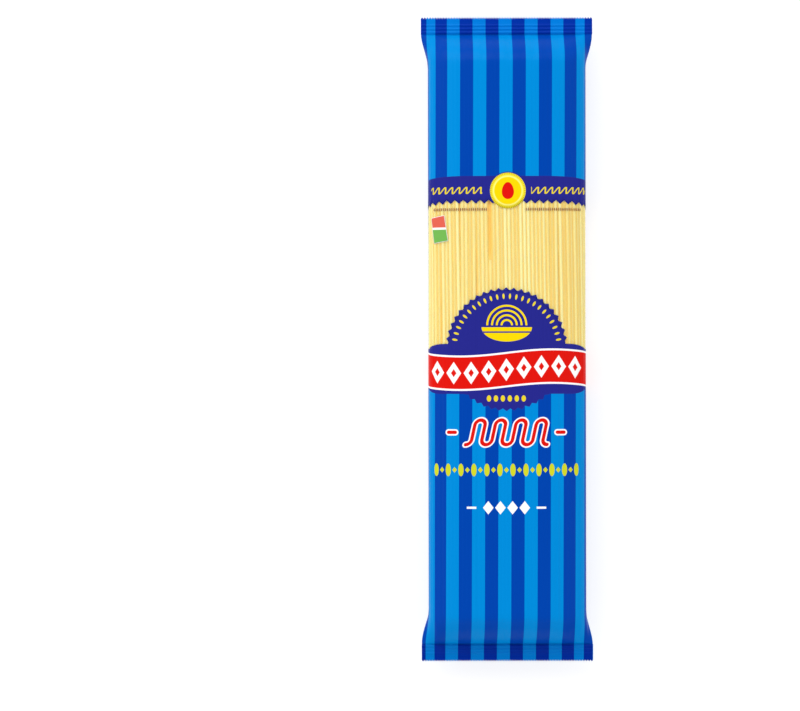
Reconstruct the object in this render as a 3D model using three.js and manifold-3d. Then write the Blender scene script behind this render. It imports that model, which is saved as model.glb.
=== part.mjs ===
// A 500 g packet of spaghetti lying on its back, front face up.
// Millimetres, +X across the packet, +Y towards its top end, +Z up out of the front face.
// The origin is on the resting face, under the middle of the packet.
import * as THREE from 'three';
import { mergeVertices } from 'three/addons/utils/BufferGeometryUtils.js';
import Module from 'manifold-3d';

// Driving dimensions of the film
const packLength = 300;
const packThickness = 27;
const bodyWidth = 73.4;
const sealWidth = 79.8;
const sealDepth = 8;
const flareLength = 14;
const spreadLength = 16.5;
const wall = 0.7;

// Crimped end seals
const sealThickness = 1.2;
const ridgePitch = 1.65;
const ridgeHeight = 0.35;
const ridgeCount = 3;
const teethPerSeal = 64;
const toothHeight = 0.6;
const joinOverlap = 0.6;
const stepsPerRidge = 6;

// Seam folded flat along the back
const seamWidth = 12;
const seamHeight = 0.4;

// Clear window in the front, open in this solid
const windowTop = 64.15;
const windowToothPitch = 3.9;
const windowToothHeight = 1.7;
const windowToothShift = -1.15;
const windowShoulder = -2.14;
const windowFloor = 5;

// Arch that rises into the window, with a zigzag rim
const archX = -0.65;
const archY = -4.62;
const archValley = 27.3;
const archTip = 28.5;
const archTeeth = 23;
const firstToothAngle = THREE.MathUtils.degToRad(11);
const toothAngleStep = THREE.MathUtils.degToRad(7.23);

// Spaghetti
const strandDiameter = 1.75;
const strandLength = 256;
const strandSpacing = 1.86;
const strandGap = 0.3;
const brokenStrandAt = -8.8;
const brokenStrandEnd = 36.5;
const rodSides = 6;
const strandJitter = 0.12;
const strandSkew = 0.25;
const strandBow = 0.15;
const strandSink = 0.35;
const unevenEnds = 1.6;
const coreDepth = 1.05;
const coreEndGap = 2;
const coreSteps = 90;
const randomSeed = 7;

// Form of the cross-section
const frontRoundness = 3;
const backRoundness = 4.5;
const middleHeight = 13.2;
const frontHeight = packThickness - middleHeight;
const backHeight = middleHeight + seamHeight;
const flatBackHeight = middleHeight - seamHeight;
const flareBend = 1.7;

// Derived places along the length
const sealStart = packLength / 2 - sealDepth;
const flareStart = sealStart - flareLength;
const spreadStart = sealStart - spreadLength;
const hollowEnd = sealStart - 1;

// Fineness of the meshes
const outerSteps = { around: 56, flare: 9, body: 4 };
const hollowSteps = { around: 44, flare: 7, body: 2 };
const seamSteps = { flare: 8, body: 2 };
const lineSteps = 720;
const mergeTolerance = 1e-5;

const wasm = await Module();
wasm.setup();

// Repeatable random numbers from 0 to 1, by a linear congruential generator
function seededRandom(seed) {
  const factor = 1664525;
  const increment = 1013904223;
  const modulus = 2 ** 32;
  let state = seed;
  return () => {
    state = (state * factor + increment) % modulus;
    return state / modulus;
  };
}

// Turns a closed three.js geometry into a solid that can be joined and cut
function toSolid(geometry) {
  const bare = geometry.index ? geometry.toNonIndexed() : geometry.clone();
  bare.deleteAttribute('normal');
  bare.deleteAttribute('uv');
  const merged = mergeVertices(bare, mergeTolerance);
  return new wasm.Manifold(new wasm.Mesh({
    numProp: 3,
    vertProperties: new Float32Array(merged.attributes.position.array),
    triVerts: new Uint32Array(merged.index.array),
  }));
}

function toGeometry(solid) {
  const mesh = solid.getMesh();
  const geometry = new THREE.BufferGeometry();
  geometry.setAttribute('position', new THREE.BufferAttribute(mesh.vertProperties, 3));
  geometry.setIndex(new THREE.BufferAttribute(mesh.triVerts, 1));
  geometry.computeVertexNormals();
  return geometry;
}

// How far a place is through the closing of the bag: 0 on the body, 1 where the seal begins
function flareProgress(y) {
  return THREE.MathUtils.clamp((Math.abs(y) - flareStart) / flareLength, 0, 1);
}

// Half width of the film at a place along the length
function halfWidth(y) {
  const spread = THREE.MathUtils.smoothstep(Math.abs(y), spreadStart, sealStart);
  return THREE.MathUtils.lerp(bodyWidth, sealWidth, spread) / 2;
}

// Part of the full height that is left at a place along the length
function heightLeft(y) {
  return 1 - flareProgress(y) ** flareBend;
}

// One point of the film's cross-section, moved inwards by inset
function sectionPoint(y, angle, inset) {
  const front = Math.sin(angle) >= 0;
  const power = 2 / (front ? frontRoundness : backRoundness);
  const fullHeight = front ? frontHeight : backHeight;
  const across = Math.sign(Math.cos(angle)) * Math.abs(Math.cos(angle)) ** power;
  const up = Math.sign(Math.sin(angle)) * Math.abs(Math.sin(angle)) ** power;
  const height = fullHeight * heightLeft(y) + sealThickness / 2 * flareProgress(y) - inset;
  const flat = flatBackHeight * heightLeft(y) + sealThickness / 2 * flareProgress(y) - inset;
  const x = (halfWidth(y) - inset) * across;
  const z = Math.max(height * up, -flat);
  return new THREE.Vector3(x, y, middleHeight + z);
}

// Closed skin over rings of points, with flat ends
function skinGeometry(rings) {
  const around = rings[0].length;
  const positions = rings.flat().flatMap((point) => point.toArray());
  const index = [];
  for (let ring = 0; ring < rings.length - 1; ring += 1) {
    for (let step = 0; step < around; step += 1) {
      const next = (step + 1) % around;
      const a = ring * around + step;
      const b = ring * around + next;
      const c = a + around;
      const d = b + around;
      index.push(a, c, b, b, c, d);
    }
  }
  const last = (rings.length - 1) * around;
  for (let step = 1; step < around - 1; step += 1) {
    index.push(0, step, step + 1);
    index.push(last, last + step + 1, last + step);
  }
  const geometry = new THREE.BufferGeometry();
  geometry.setAttribute('position', new THREE.Float32BufferAttribute(positions, 3));
  geometry.setIndex(index);
  return geometry;
}

// Places of the cross-sections: close together on the flares, wide apart on the straight body
function sectionPlaces(end, steps) {
  const places = [];
  for (let step = 0; step <= steps.flare; step += 1) {
    places.push(-end + (end - spreadStart) * step / steps.flare);
  }
  for (let step = 1; step < steps.body; step += 1) {
    places.push(-spreadStart + 2 * spreadStart * step / steps.body);
  }
  for (let step = 0; step <= steps.flare; step += 1) {
    places.push(spreadStart + (end - spreadStart) * step / steps.flare);
  }
  return places;
}

// The pillow form of the bag, moved inwards by inset
function pillow(inset, end, steps) {
  const rings = sectionPlaces(end, steps).map((y) => {
    const ring = [];
    for (let step = 0; step < steps.around; step += 1) {
      ring.push(sectionPoint(y, 2 * Math.PI * step / steps.around, inset));
    }
    return ring;
  });
  return toSolid(skinGeometry(rings));
}

// Extrudes a shape drawn in Y and Z across the packet
function acrossPacket(shape, width) {
  const geometry = new THREE.ExtrudeGeometry(shape, { depth: width, bevelEnabled: false });
  geometry.translate(0, 0, -width / 2);
  geometry.applyMatrix4(new THREE.Matrix4().makeBasis(
    new THREE.Vector3(0, 1, 0),
    new THREE.Vector3(0, 0, 1),
    new THREE.Vector3(1, 0, 0),
  ));
  return toSolid(geometry);
}

// Crimped band: both films pressed into the same ridges, side = 1 at the top end, -1 at the bottom
function crimpBand(side) {
  const steps = ridgeCount * stepsPerRidge;
  const wave = (y) => {
    const ridge = (y - sealStart) / ridgePitch;
    const inside = ridge > 0 && ridge < ridgeCount;
    return inside ? ridgeHeight * (1 - Math.cos(2 * Math.PI * ridge)) / 2 : 0;
  };
  const places = [sealStart - joinOverlap];
  for (let step = 0; step <= steps; step += 1) {
    places.push(sealStart + ridgePitch * step / stepsPerRidge);
  }
  const upper = places.map((y) => [side * y, middleHeight + sealThickness / 2 + wave(y)]);
  const lower = places.map((y) => [side * y, middleHeight - sealThickness / 2 + wave(y)]);
  const outline = [...upper, ...lower.reverse()].map(([y, z]) => new THREE.Vector2(y, z));
  return acrossPacket(new THREE.Shape(outline), sealWidth);
}

// Zigzag cut edge of an end seal
function cutEdge(side) {
  const tip = packLength / 2;
  const inner = sealStart + ridgeCount * ridgePitch - joinOverlap;
  const toothPitch = sealWidth / teethPerSeal;
  const outline = [new THREE.Vector2(-sealWidth / 2, side * inner)];
  for (let tooth = 0; tooth < teethPerSeal; tooth += 1) {
    const left = -sealWidth / 2 + tooth * toothPitch;
    outline.push(new THREE.Vector2(left, side * (tip - toothHeight)));
    outline.push(new THREE.Vector2(left + toothPitch / 2, side * tip));
  }
  outline.push(new THREE.Vector2(sealWidth / 2, side * (tip - toothHeight)));
  outline.push(new THREE.Vector2(sealWidth / 2, side * inner));
  const geometry = new THREE.ExtrudeGeometry(new THREE.Shape(outline), {
    depth: sealThickness,
    bevelEnabled: false,
  });
  geometry.translate(0, 0, middleHeight - sealThickness / 2);
  return toSolid(geometry);
}

// Seam along the back, following the underside from seal to seal
function backSeam() {
  const places = sectionPlaces(sealStart, seamSteps);
  const underside = (y) => sectionPoint(y, -Math.PI / 2, 0).z;
  const outer = places.map((y) => new THREE.Vector2(y, underside(y) - seamHeight));
  const inner = places.map((y) => new THREE.Vector2(y, underside(y) + wall / 2));
  return acrossPacket(new THREE.Shape([...outer, ...inner.reverse()]), seamWidth);
}

// Block that cuts the window: zigzag along its top, the arch rising into its lower edge
function windowBlock() {
  const teethEachSide = Math.ceil(sealWidth / 2 / windowToothPitch) + 1;
  const left = windowToothShift - teethEachSide * windowToothPitch;
  const right = windowToothShift + teethEachSide * windowToothPitch;
  const shape = new THREE.Shape();
  shape.moveTo(left, windowTop);
  for (let tooth = 0; tooth < 2 * teethEachSide; tooth += 1) {
    const start = left + tooth * windowToothPitch;
    shape.lineTo(start + windowToothPitch / 2, windowTop - windowToothHeight);
    shape.lineTo(start + windowToothPitch, windowTop);
  }
  shape.lineTo(right, windowShoulder);
  const foot = Math.sqrt(archValley ** 2 - (windowShoulder - archY) ** 2);
  shape.lineTo(archX + foot, windowShoulder);
  for (let half = -1; half < 2 * archTeeth; half += 1) {
    const angle = firstToothAngle + toothAngleStep * half / 2;
    const radius = half % 2 === 0 ? archTip : archValley;
    shape.lineTo(archX + radius * Math.cos(angle), archY + radius * Math.sin(angle));
  }
  shape.lineTo(archX - foot, windowShoulder);
  shape.lineTo(left, windowShoulder);
  const geometry = new THREE.ExtrudeGeometry(shape, {
    depth: packThickness,
    bevelEnabled: false,
  });
  geometry.translate(0, 0, windowFloor);
  return toSolid(geometry);
}

function filmPack() {
  const outer = pillow(0, sealStart, outerSteps);
  const inner = pillow(wall, hollowEnd, hollowSteps);
  const bag = wasm.Manifold.union([
    outer,
    crimpBand(1),
    crimpBand(-1),
    cutEdge(1),
    cutEdge(-1),
    backSeam(),
  ]);
  return bag.subtract(inner).subtract(windowBlock());
}

// Closed line round the bundle, at an even depth below the outer face of the film
function strandLine(inset) {
  const outline = [];
  for (let step = 0; step < lineSteps; step += 1) {
    outline.push(sectionPoint(0, 2 * Math.PI * step / lineSteps, 0));
  }
  const moved = outline.map((point, step) => {
    const before = outline[(step + lineSteps - 1) % lineSteps];
    const after = outline[(step + 1) % lineSteps];
    const along = after.clone().sub(before).normalize();
    const outwards = new THREE.Vector3(along.z, 0, -along.x);
    return point.clone().addScaledVector(outwards, -inset);
  });
  const curve = new THREE.CatmullRomCurve3(moved, true);
  curve.arcLengthDivisions = 2 * lineSteps;
  return curve;
}

// One strand as a six-sided rod between two points, with a slight bow in the middle
function strandRod(from, to, bow) {
  const middle = from.clone().add(to).multiplyScalar(0.5).add(bow);
  const rings = [from, middle, to].map((centre) => {
    const ring = [];
    for (let side = 0; side < rodSides; side += 1) {
      const angle = 2 * Math.PI * (side + 0.5) / rodSides;
      const x = centre.x + strandDiameter / 2 * Math.cos(angle);
      const z = centre.z + strandDiameter / 2 * Math.sin(angle);
      ring.push(new THREE.Vector3(x, centre.y, z));
    }
    return ring;
  });
  return toSolid(skinGeometry(rings));
}

function spaghettiBundle() {
  const random = seededRandom(randomSeed);
  const between = (low, high) => low + (high - low) * random();
  const outerLine = strandLine(wall + strandGap + strandDiameter / 2);
  const coreLine = strandLine(wall + strandGap + coreDepth);
  const coreEnd = strandLength / 2 - coreEndGap;
  const coreRings = [-coreEnd, coreEnd].map((y) => coreLine
    .getSpacedPoints(coreSteps)
    .slice(0, coreSteps)
    .map((point) => new THREE.Vector3(point.x, y, point.z)));
  const pieces = [toSolid(skinGeometry(coreRings))];

  const heart = new THREE.Vector3(0, 0, middleHeight);
  const count = Math.floor(outerLine.getLength() / strandSpacing);
  for (let strand = 0; strand < count; strand += 1) {
    const place = (strand + between(-strandJitter, strandJitter)) / count;
    const skew = between(-strandSkew, strandSkew) / count;
    const bottomEnd = outerLine.getPointAt((place - skew + 1) % 1);
    const topEnd = outerLine.getPointAt((place + skew + 1) % 1);
    const sink = between(0, strandSink);
    bottomEnd.addScaledVector(heart.clone().sub(bottomEnd).normalize(), sink);
    topEnd.addScaledVector(heart.clone().sub(topEnd).normalize(), sink);
    bottomEnd.y = -strandLength / 2 + between(0, unevenEnds);
    topEnd.y = strandLength / 2 - between(0, unevenEnds);
    const onFront = topEnd.z > middleHeight;
    if (onFront && Math.abs(topEnd.x - brokenStrandAt) < strandSpacing / 2) {
      topEnd.y = brokenStrandEnd;
    }
    const inwards = heart.clone().sub(topEnd).setY(0).normalize();
    pieces.push(strandRod(bottomEnd, topEnd, inwards.multiplyScalar(between(0, strandBow))));
  }
  return wasm.Manifold.union(pieces);
}

const printedFilm = new THREE.MeshStandardMaterial({
  color: 0x0b62bd,
  roughness: 0.35,
  metalness: 0,
});
const pasta = new THREE.MeshStandardMaterial({
  color: 0xf8e08e,
  roughness: 0.6,
  metalness: 0,
});

const film = new THREE.Mesh(toGeometry(filmPack()), printedFilm);
film.name = 'film_pack';

const bundle = new THREE.Mesh(toGeometry(spaghettiBundle()), pasta);
bundle.name = 'spaghetti_bundle';

const group = new THREE.Group();
group.add(film, bundle);

export default group;
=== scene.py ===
"""Dresses the pasta packet: printed film, clear window, crimped ends, back seam and spaghetti.

The packet lies on its back with its front face up. +X runs across it, +Y towards its top end.
Sizes of the packet are written in millimetres and turned into metres where a mesh is made.
A size of the print that is given as a pair is half a width and half a height.
"""

import logging
import math
import random
from dataclasses import dataclass, field
from enum import Enum

import bmesh
import bpy
import numpy as np
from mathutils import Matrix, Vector


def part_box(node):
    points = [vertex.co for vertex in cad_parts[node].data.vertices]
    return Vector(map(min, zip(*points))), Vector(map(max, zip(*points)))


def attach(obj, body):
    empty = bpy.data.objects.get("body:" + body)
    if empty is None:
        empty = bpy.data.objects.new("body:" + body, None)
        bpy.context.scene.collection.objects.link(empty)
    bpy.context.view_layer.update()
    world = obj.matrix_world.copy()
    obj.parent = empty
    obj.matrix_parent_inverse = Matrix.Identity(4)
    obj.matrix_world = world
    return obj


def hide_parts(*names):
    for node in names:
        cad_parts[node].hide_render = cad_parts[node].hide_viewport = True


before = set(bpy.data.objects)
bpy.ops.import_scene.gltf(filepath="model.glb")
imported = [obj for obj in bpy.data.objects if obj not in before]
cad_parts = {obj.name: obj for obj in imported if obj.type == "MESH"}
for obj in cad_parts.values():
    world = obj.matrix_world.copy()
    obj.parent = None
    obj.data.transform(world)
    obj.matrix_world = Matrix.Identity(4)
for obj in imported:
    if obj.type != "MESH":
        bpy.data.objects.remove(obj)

MM = 0.001
TINY = 1e-9
Pair = tuple[float, float]
Colour = tuple[float, float, float, float]
WHITE: Colour = (1.0, 1.0, 1.0, 1.0)
Socket = bpy.types.NodeSocket
Value = float | Socket
log = logging.getLogger("pasta_packet")


class End(Enum):
    """The two crimped ends of the packet."""

    TOP = 1
    BOTTOM = -1


def srgb(red: int, green: int, blue: int) -> Colour:
    """Turns a colour seen on a screen into the linear colour that a shader takes.

    Args:
        red: Red from 0 to 255.
        green: Green from 0 to 255.
        blue: Blue from 0 to 255.

    Returns:
        Red, green, blue and an opacity of 1, each from 0 to 1.
    """
    parts = [value / 255 for value in (red, green, blue)]
    linear = [p / 12.92 if p <= 0.04045 else ((p + 0.055) / 1.055) ** 2.4 for p in parts]
    return (*linear, 1.0)


def smooth(value: np.ndarray) -> np.ndarray:
    """Returns value eased from 0 to 1 with flat ends."""
    held = np.clip(value, 0.0, 1.0)
    return held * held * (3.0 - 2.0 * held)


def grid_faces(rows: int, columns: int, closed: bool = False) -> np.ndarray:
    """Lists the four-sided faces of a grid of points.

    Args:
        rows: Number of rows of points.
        columns: Number of points in each row.
        closed: True where the last point of a row joins the first.

    Returns:
        One row of four point numbers for each face, with the points numbered row by row.
    """
    low = np.arange(rows - 1)[:, None] * columns
    here = np.arange(columns if closed else columns - 1)[None, :]
    there = (here + 1) % columns
    corners = [low + here, low + there, low + columns + there, low + columns + here]
    return np.stack(corners, axis=-1).reshape(-1, 4)


def plate_faces(rows: int, columns: int) -> np.ndarray:
    """Lists the faces of a closed plate made of an upper and a lower grid of points.

    Args:
        rows: Number of rows of points in each grid.
        columns: Number of points in each row.

    Returns:
        One row of four point numbers for each face, the upper grid's points first.
    """
    size = rows * columns
    upper = grid_faces(rows, columns)
    rim = list(range(columns))
    rim += [row * columns + columns - 1 for row in range(1, rows)]
    rim += [size - 1 - step for step in range(1, columns)]
    rim += [row * columns for row in range(rows - 2, 0, -1)]
    here = np.array(rim)
    there = np.roll(here, -1)
    wall = np.stack([here, here + size, there + size, there], axis=-1)
    return np.concatenate([upper, upper[:, ::-1] + size, wall])


def make_piece(
    name: str,
    points: np.ndarray,
    faces: np.ndarray | list,
    maps: dict[str, np.ndarray],
    material: bpy.types.Material,
) -> bpy.types.Object:
    """Makes a smooth-shaded mesh piece from points in millimetres.

    Args:
        name: Name of the piece.
        points: One row of x, y and z for each point, in millimetres.
        faces: Point numbers of each face, anticlockwise from outside.
        maps: Flat coordinates by the name of their map, for each point or each face corner.
        material: The finish of the whole piece.

    Returns:
        The new object, linked to the scene.
    """
    mesh = bpy.data.meshes.new(name)
    mesh.from_pydata((points * MM).tolist(), [], [tuple(face) for face in faces])
    corners = np.zeros(len(mesh.loops), dtype=np.int32)
    mesh.loops.foreach_get("vertex_index", corners)
    for title, flat in maps.items():
        layer = mesh.uv_layers.new(name=title)
        by_corner = flat if len(flat) == len(corners) else flat[corners]
        layer.data.foreach_set("uv", by_corner.astype(np.float32).ravel())
    mesh.polygons.foreach_set("use_smooth", [True] * len(mesh.polygons))
    mesh.materials.append(material)
    piece = bpy.data.objects.new(name, mesh)
    bpy.context.scene.collection.objects.link(piece)
    return piece


def fit_square(flat: np.ndarray, margin: float = 0.01) -> np.ndarray:
    """Returns flat coordinates moved and stretched to fill the unit square with a thin margin."""
    low, high = flat.min(axis=0), flat.max(axis=0)
    return margin + (1 - 2 * margin) * (flat - low) / (high - low)


class Wiring:
    """Adds nodes to one node tree and links them."""

    def __init__(self, tree: bpy.types.NodeTree) -> None:
        """Starts from the tree of a material or of the world."""
        self.tree = tree

    def feed(self, node: bpy.types.Node, inputs: dict[str | int, Value | Colour]) -> None:
        """Links inputs of a node to sockets, or sets them to numbers or colours.

        Args:
            node: The node.
            inputs: What goes into each input, by the input's name or number.
        """
        for name, value in inputs.items():
            if isinstance(value, Socket):
                self.tree.links.new(value, node.inputs[name])
            else:
                node.inputs[name].default_value = value

    def add(self, kind: str, inputs: dict[str | int, Value | Colour]) -> bpy.types.Node:
        """Adds a node.

        Args:
            kind: The type of the node.
            inputs: What goes into each input, by the input's name or number.

        Returns:
            The new node.
        """
        node = self.tree.nodes.new(kind)
        self.feed(node, inputs)
        return node

    def work(self, kind: str, *values: Value) -> Socket:
        """Does one sum on sockets or numbers.

        Args:
            kind: What the Math node does.
            values: What it does it to.

        Returns:
            The result.
        """
        node = self.tree.nodes.new("ShaderNodeMath")
        node.operation = kind
        self.feed(node, dict(enumerate(values)))
        return node.outputs[0]

    def flat(self, map_name: str) -> tuple[Socket, Socket]:
        """Splits up the coordinates of a map.

        Args:
            map_name: Name of the map.

        Returns:
            The first and the second coordinate.
        """
        place = self.tree.nodes.new("ShaderNodeUVMap")
        place.uv_map = map_name
        split = self.add("ShaderNodeSeparateXYZ", {0: place.outputs["UV"]})
        return split.outputs["X"], split.outputs["Y"]

    def noise(self, place: Socket, scale: float, detail: float) -> Socket:
        """Returns a cloudy noise at a place, from 0 to 1."""
        inputs = {"Vector": place, "Scale": scale, "Detail": detail}
        return self.add("ShaderNodeTexNoise", inputs).outputs["Fac"]

    def bump(self, height: Socket, strength: float, depth: float) -> Socket:
        """Returns the direction of a surface that a height makes uneven, its depth in millimetres."""
        inputs = {"Height": height, "Strength": strength, "Distance": depth * MM}
        return self.add("ShaderNodeBump", inputs).outputs[0]

    def ramp(self, value: Socket, span: Pair, results: Pair = (0.0, 1.0)) -> bpy.types.Node:
        """Turns a value within a span into a value between two results.

        Args:
            value: The value.
            span: Where the ramp starts and ends.
            results: What comes out at its start and at its end.

        Returns:
            The ramp's node, a straight ramp until its interpolation is changed.
        """
        ends = zip(("From Min", "From Max", "To Min", "To Max"), (*span, *results))
        return self.add("ShaderNodeMapRange", {"Value": value, **dict(ends)})

    def mix(self, share: Socket, first: Colour | Socket, second: Colour | Socket) -> Socket:
        """Mixes two colours.

        Args:
            share: Share of the second colour, from 0 to 1.
            first: The first colour.
            second: The second colour.

        Returns:
            The mixed colour.
        """
        node = self.tree.nodes.new("ShaderNodeMix")
        node.data_type = "RGBA"
        self.feed(node, {"Factor": share, "A": first, "B": second})
        return node.outputs["Result"]


class Sketch(Wiring):
    """Draws flat shapes in millimetres on the film, with the nodes of one material.

    A shape is a distance to its edge in millimetres, below zero inside it.
    """

    softness: float = 0.05

    def __init__(self, tree: bpy.types.NodeTree) -> None:
        """Starts a white drawing on the map "print", which holds places in millimetres.

        Args:
            tree: The tree of the material that is drawn.
        """
        super().__init__(tree)
        self.colour: Colour | Socket = WHITE
        self.x, self.y = self.flat("print")

    def past(self, axis: Value, value: Value) -> Socket:
        """Returns how far an axis is past a value."""
        return self.work("SUBTRACT", axis, value)

    def reach(self, across: Value, along: Value) -> Socket:
        """Returns the length of the way that goes across and along."""
        squares = self.work("MULTIPLY", across, across)
        return self.work("SQRT", self.work("MULTIPLY_ADD", along, along, squares))

    def both(self, first: Socket, second: Socket) -> Socket:
        """Returns the shape where two shapes overlap."""
        return self.work("MAXIMUM", first, second)

    def either(self, first: Socket, second: Socket) -> Socket:
        """Returns the shape of two shapes together."""
        return self.work("MINIMUM", first, second)

    def disc(self, x: float, y: float, radius: float) -> Socket:
        """Returns a disc."""
        return self.past(self.reach(self.past(self.x, x), self.past(self.y, y)), radius)

    def band(self, axis: Value, low: float, high: float) -> Socket:
        """Returns the band between two values of an axis."""
        away = self.work("ABSOLUTE", self.past(axis, (low + high) / 2))
        return self.past(away, (high - low) / 2)

    def line(self, shape: Socket, half: float) -> Socket:
        """Returns a line along the edge of a shape."""
        return self.past(self.work("ABSOLUTE", shape), half)

    def repeat(self, axis: Value, pitch: float, shift: Value = 0.0) -> Socket:
        """Returns an axis folded into repeats that run from -pitch/2 to pitch/2 round a shift."""
        turned = self.work("ADD", self.past(axis, shift), pitch / 2)
        return self.past(self.work("FLOORED_MODULO", turned, pitch), pitch / 2)

    def lozenge(self, x: Value, y: Value, half_width: float, half_height: float) -> Socket:
        """Draws a lozenge.

        Args:
            x: Place across, from the middle of the lozenge.
            y: Place along, from the middle of the lozenge.
            half_width: Half its width.
            half_height: Half its height.

        Returns:
            The shape.
        """
        across = self.work("DIVIDE", self.work("ABSOLUTE", x), half_width)
        along = self.work("DIVIDE", self.work("ABSOLUTE", y), half_height)
        edge = self.past(self.work("ADD", across, along), 1.0)
        slope = half_width * half_height / math.hypot(half_width, half_height)
        return self.work("MULTIPLY", edge, slope)

    def ellipse(self, x: Value, y: Value, half_width: float, half_height: float) -> Socket:
        """Draws an ellipse.

        Args:
            x: Place across, from the middle of the ellipse.
            y: Place along, from the middle of the ellipse.
            half_width: Half its width.
            half_height: Half its height.

        Returns:
            The shape.
        """
        across = self.work("DIVIDE", x, half_width)
        along = self.work("DIVIDE", y, half_height)
        edge = self.past(self.reach(across, along), 1.0)
        return self.work("MULTIPLY", edge, min(half_width, half_height))

    def wave(self, x: Value, y: Value, height: float, pitch: float, half: float) -> Socket:
        """Draws a wavy stroke along x.

        Args:
            x: Place across.
            y: Place along, from the middle of the stroke.
            height: How far the stroke swings to each side.
            pitch: Length of one wave.
            half: Half the width of the stroke.

        Returns:
            The shape.
        """
        turn = self.work("MULTIPLY", x, 2 * math.pi / pitch)
        line = self.work("MULTIPLY", self.work("SINE", turn), height)
        gap = self.work("ABSOLUTE", self.past(y, line))
        slope = self.work("MULTIPLY", self.work("COSINE", turn), 2 * math.pi * height / pitch)
        return self.past(self.work("DIVIDE", gap, self.reach(slope, 1.0)), half)

    def noodle(self, x: Value, y: Value, spacing: float, turns: int, straight: float) -> Socket:
        """Draws the middle line of one long noodle laid to and fro.

        Args:
            x: Place across, from the middle of the noodle.
            y: Place along, from the middle of the noodle.
            spacing: Distance between two neighbouring runs.
            turns: Number of bends on each side of the middle.
            straight: Half the length of a run's straight stretch.

        Returns:
            The distance to the line.
        """
        upper = self.work("MULTIPLY", self.work("GREATER_THAN", y, 0.0), spacing)
        across = self.repeat(x, 2 * spacing, upper)
        along = self.work("MAXIMUM", self.past(self.work("ABSOLUTE", y), straight), 0.0)
        bend = self.work("ABSOLUTE", self.past(self.reach(across, along), spacing / 2))
        half = turns * spacing
        far = self.past(self.work("ABSOLUTE", x), half)
        cap = self.reach(far, self.work("ADD", y, straight + spacing / 2))
        outside = self.work("MULTIPLY", self.work("GREATER_THAN", far, 0.0), 2 * half)
        return self.either(self.work("ADD", bend, outside), cap)

    def paint(self, shape: Socket, colour: Colour | Socket, softness: float = 0.0) -> None:
        """Lays a colour over the drawing.

        Args:
            shape: The shape to fill.
            colour: A linear colour or a colour socket.
            softness: Half the width of the soft edge, or 0 for the drawing's own.
        """
        soft = softness or self.softness
        mask = self.ramp(shape, (soft, -soft)).outputs["Result"]
        self.colour = self.mix(mask, self.colour, colour)


def new_material(
    name: str, settings: dict[str, Value | Colour]
) -> tuple[bpy.types.Material, bpy.types.Node]:
    """Makes a material.

    Args:
        name: Name of the material.
        settings: What goes into the inputs of its shader, by their names.

    Returns:
        The material and its shader.
    """
    material = bpy.data.materials.new(name)
    material.use_nodes = True
    shader = material.node_tree.nodes["Principled BSDF"]
    Wiring(material.node_tree).feed(shader, settings)
    return material, shader


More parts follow.
